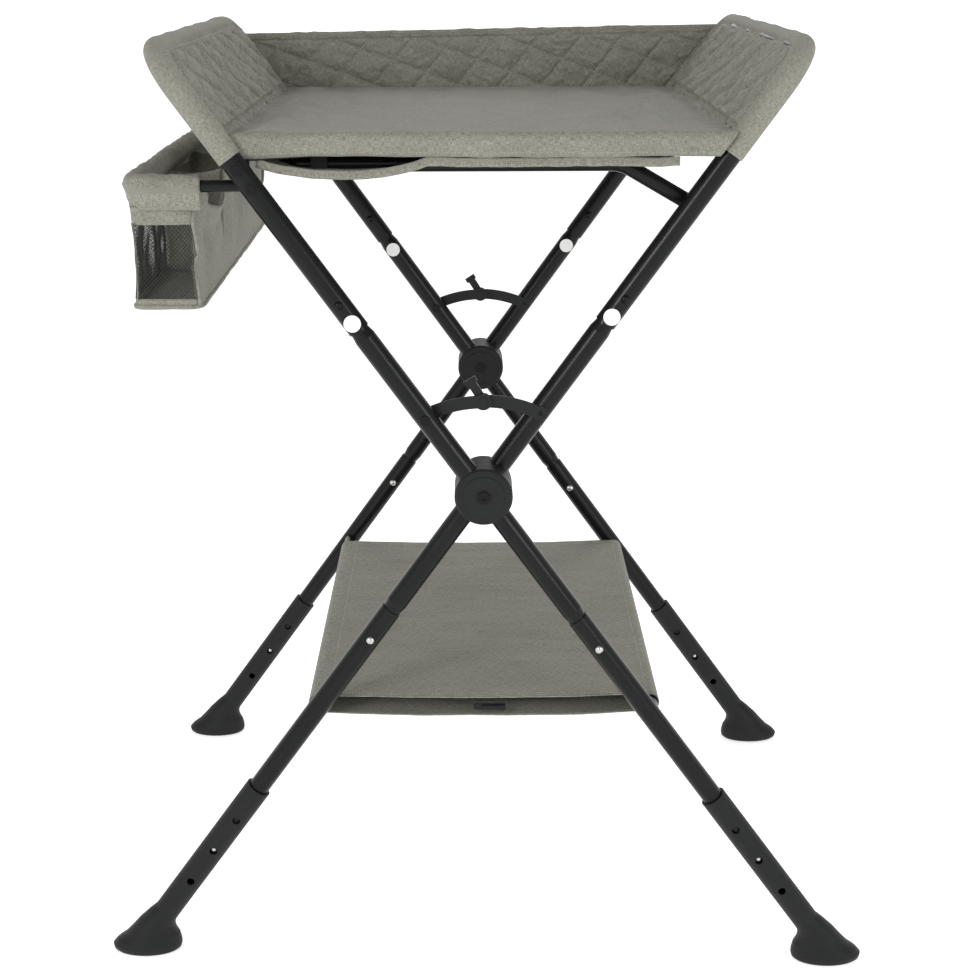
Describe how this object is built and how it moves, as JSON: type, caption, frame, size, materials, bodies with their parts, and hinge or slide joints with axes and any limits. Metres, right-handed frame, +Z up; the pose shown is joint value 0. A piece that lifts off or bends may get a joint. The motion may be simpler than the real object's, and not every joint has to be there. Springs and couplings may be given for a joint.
{
  "type": "folding changing table",
  "caption": "Folding baby changing table on crossed tube legs, with a quilted bed between raised wings, a rear wall, a side basket and a lower cloth shelf.",
  "frame": {"origin": "on the floor, at the middle of the feet, below the hub axes", "axes": "+X across the table to the viewer's right, +Y to the rear, +Z up"},
  "size_m": [0.8206, 0.639, 0.9766],
  "materials": {
    "frame_tube": "glossy black powder coat",
    "stay_steel": "satin black",
    "screws": "satin black steel",
    "black_button": "satin black",
    "bright_steel": "bright zinc",
    "plastic": "fine matte",
    "label": "satin white",
    "mesh": "open hexagonal net",
    "fabric": "woven grey-olive melange"
  },
  "bodies": {
    "left_frame": {"left_wing_hoop": "frame_tube", "left_front_upper_tube": "frame_tube", "left_rear_upper_tube": "frame_tube", "left_front_link_tube": "frame_tube", "left_rear_link_tube": "frame_tube", "left_front_lower_tube": "frame_tube", "left_rear_lower_tube": "frame_tube", "left_shelf_bar": "frame_tube", "left_bed_rod": "frame_tube", "left_front_hub_shell": "plastic", "left_rear_hub_shell": "plastic", "hub_axle_bolts": "screws", "left_frame_fasteners": "screws", "left_label_discs": "label", "support_bar_clips": "plastic", "basket_rod": "frame_tube", "basket_shell": "fabric", "basket_mesh": "mesh", "basket_dividers": "fabric", "left_wing_pad": "fabric", "bed_pad": "fabric", "rear_wall": "fabric", "shelf_cloth": "fabric"},
    "right_frame": {"right_wing_hoop": "frame_tube", "right_front_link_tube": "frame_tube", "right_rear_link_tube": "frame_tube", "right_front_lower_tube": "frame_tube", "right_rear_lower_tube": "frame_tube", "right_shelf_bar": "frame_tube", "right_bed_rod": "frame_tube", "right_front_hub_shell": "plastic", "right_rear_hub_shell": "plastic", "right_frame_fasteners": "screws", "right_label_discs": "label", "right_wing_pad": "fabric"},
    "support_bar": {"support_bar": "frame_tube"},
    "front_stay_left_arm": {"front_stay_left_arm": "stay_steel"},
    "front_stay_right_arm": {"front_stay_right_arm": "stay_steel"},
    "rear_stay_left_arm": {"rear_stay_left_arm": "stay_steel"},
    "rear_stay_right_arm": {"rear_stay_right_arm": "stay_steel"},
    "front_stay_lever": {"front_stay_lever": "stay_steel"},
    "rear_stay_lever": {"rear_stay_lever": "stay_steel"},
    "left_front_foot": {"left_front_foot": "plastic"},
    "left_rear_foot": {"left_rear_foot": "plastic"},
    "right_front_foot": {"right_front_foot": "plastic"},
    "right_rear_foot": {"right_rear_foot": "plastic"},
    "left_front_height_button": {"left_front_height_button": "bright_steel"},
    "left_rear_height_button": {"left_rear_height_button": "bright_steel"},
    "right_front_height_button": {"right_front_height_button": "bright_steel"},
    "right_rear_height_button": {"right_rear_height_button": "bright_steel"},
    "left_front_lower_button": {"left_front_lower_button": "bright_steel"},
    "left_rear_lower_button": {"left_rear_lower_button": "bright_steel"},
    "right_front_lower_button": {"right_front_lower_button": "bright_steel"},
    "right_rear_lower_button": {"right_rear_lower_button": "bright_steel"},
    "left_front_upper_button": {"left_front_upper_button": "black_button"},
    "left_rear_upper_button": {"left_rear_upper_button": "black_button"},
    "right_front_upper_button": {"right_front_upper_button": "black_button"},
    "right_rear_upper_button": {"right_rear_upper_button": "black_button"}
  },
  "joints": [
    {"name": "fold", "type": "hinge", "parent": "left_frame", "child": "right_frame", "pos_m": [0, 0, 0.532], "axis": [0, -1, 0], "range_deg": [0, 62], "deforming": ["bed_pad", "rear_wall", "shelf_cloth"]},
    {"name": "support_bar_swing", "type": "hinge", "parent": "right_frame", "child": "support_bar", "pos_m": [0.20424, 0, 0.81623], "axis": [0, -1, 0], "range_deg": [0, 58.07]},
    {"name": "front_stay_left_fold", "type": "hinge", "parent": "left_frame", "child": "front_stay_left_arm", "pos_m": [-0.05719, -0.2825, 0.61158], "axis": [0, -1, 0], "range_deg": [0, 100.62]},
    {"name": "front_stay_right_fold", "type": "hinge", "parent": "right_frame", "child": "front_stay_right_arm", "pos_m": [0.05719, -0.2825, 0.61158], "axis": [0, 1, 0], "range_deg": [0, 100.62]},
    {"name": "front_stay_release", "type": "hinge", "parent": "front_stay_right_arm", "child": "front_stay_lever", "pos_m": [0, -0.2825, 0.62448], "axis": [0, -1, 0], "range_deg": [0, 20], "stiffness_Nm_per_rad": 0.15},
    {"name": "rear_stay_left_fold", "type": "hinge", "parent": "left_frame", "child": "rear_stay_left_arm", "pos_m": [-0.05719, 0.2825, 0.61158], "axis": [0, -1, 0], "range_deg": [0, 100.62]},
    {"name": "rear_stay_right_fold", "type": "hinge", "parent": "right_frame", "child": "rear_stay_right_arm", "pos_m": [0.05719, 0.2825, 0.61158], "axis": [0, 1, 0], "range_deg": [0, 100.62]},
    {"name": "rear_stay_release", "type": "hinge", "parent": "rear_stay_right_arm", "child": "rear_stay_lever", "pos_m": [0, 0.2825, 0.62448], "axis": [0, -1, 0], "range_deg": [0, 20], "stiffness_Nm_per_rad": 0.15},
    {"name": "left_front_height", "type": "slide", "parent": "left_frame", "child": "left_front_foot", "axis": [-0.5835, 0, 0.8121], "range_m": [-0.045, 0.045]},
    {"name": "left_front_height_press", "type": "slide", "parent": "left_frame", "child": "left_front_height_button", "axis": [0, 1, 0], "range_m": [0, 0.0028], "stiffness_N_per_m": 900},
    {"name": "left_front_lower_press", "type": "slide", "parent": "left_frame", "child": "left_front_lower_button", "axis": [0, 1, 0], "range_m": [0, 0.0028], "stiffness_N_per_m": 900},
    {"name": "left_front_upper_press", "type": "slide", "parent": "left_frame", "child": "left_front_upper_button", "axis": [0, 1, 0], "range_m": [0, 0.0028], "stiffness_N_per_m": 900},
    {"name": "right_front_height", "type": "slide", "parent": "right_frame", "child": "right_front_foot", "axis": [0.5835, 0, 0.8121], "range_m": [-0.045, 0.045]},
    {"name": "right_front_height_press", "type": "slide", "parent": "right_frame", "child": "right_front_height_button", "axis": [0, 1, 0], "range_m": [0, 0.0028], "stiffness_N_per_m": 900},
    {"name": "right_front_lower_press", "type": "slide", "parent": "right_frame", "child": "right_front_lower_button", "axis": [0, 1, 0], "range_m": [0, 0.0028], "stiffness_N_per_m": 900},
    {"name": "right_front_upper_press", "type": "slide", "parent": "right_frame", "child": "right_front_upper_button", "axis": [0, 1, 0], "range_m": [0, 0.0028], "stiffness_N_per_m": 900},
    {"name": "left_rear_height", "type": "slide", "parent": "left_frame", "child": "left_rear_foot", "axis": [-0.5835, 0, 0.8121], "range_m": [-0.045, 0.045]},
    {"name": "left_rear_height_press", "type": "slide", "parent": "left_frame", "child": "left_rear_height_button", "axis": [0, 1, 0], "range_m": [0, 0.0028], "stiffness_N_per_m": 900},
    {"name": "left_rear_lower_press", "type": "slide", "parent": "left_frame", "child": "left_rear_lower_button", "axis": [0, 1, 0], "range_m": [0, 0.0028], "stiffness_N_per_m": 900},
    {"name": "left_rear_upper_press", "type": "slide", "parent": "left_frame", "child": "left_rear_upper_button", "axis": [0, 1, 0], "range_m": [0, 0.0028], "stiffness_N_per_m": 900},
    {"name": "right_rear_height", "type": "slide", "parent": "right_frame", "child": "right_rear_foot", "axis": [0.5835, 0, 0.8121], "range_m": [-0.045, 0.045]},
    {"name": "right_rear_height_press", "type": "slide", "parent": "right_frame", "child": "right_rear_height_button", "axis": [0, 1, 0], "range_m": [0, 0.0028], "stiffness_N_per_m": 900},
    {"name": "right_rear_lower_press", "type": "slide", "parent": "right_frame", "child": "right_rear_lower_button", "axis": [0, 1, 0], "range_m": [0, 0.0028], "stiffness_N_per_m": 900},
    {"name": "right_rear_upper_press", "type": "slide", "parent": "right_frame", "child": "right_rear_upper_button", "axis": [0, 1, 0], "range_m": [0, 0.0028], "stiffness_N_per_m": 900}
  ],
  "couplings": [
    {"joint": "support_bar_swing", "follows": "fold", "ratio": 0.935},
    {"joint": "front_stay_left_fold", "follows": "fold", "ratio": 1.6196},
    {"joint": "front_stay_right_fold", "follows": "fold", "ratio": 1.6196},
    {"joint": "rear_stay_left_fold", "follows": "fold", "ratio": 1.6196},
    {"joint": "rear_stay_right_fold", "follows": "fold", "ratio": 1.6196}
  ]
}
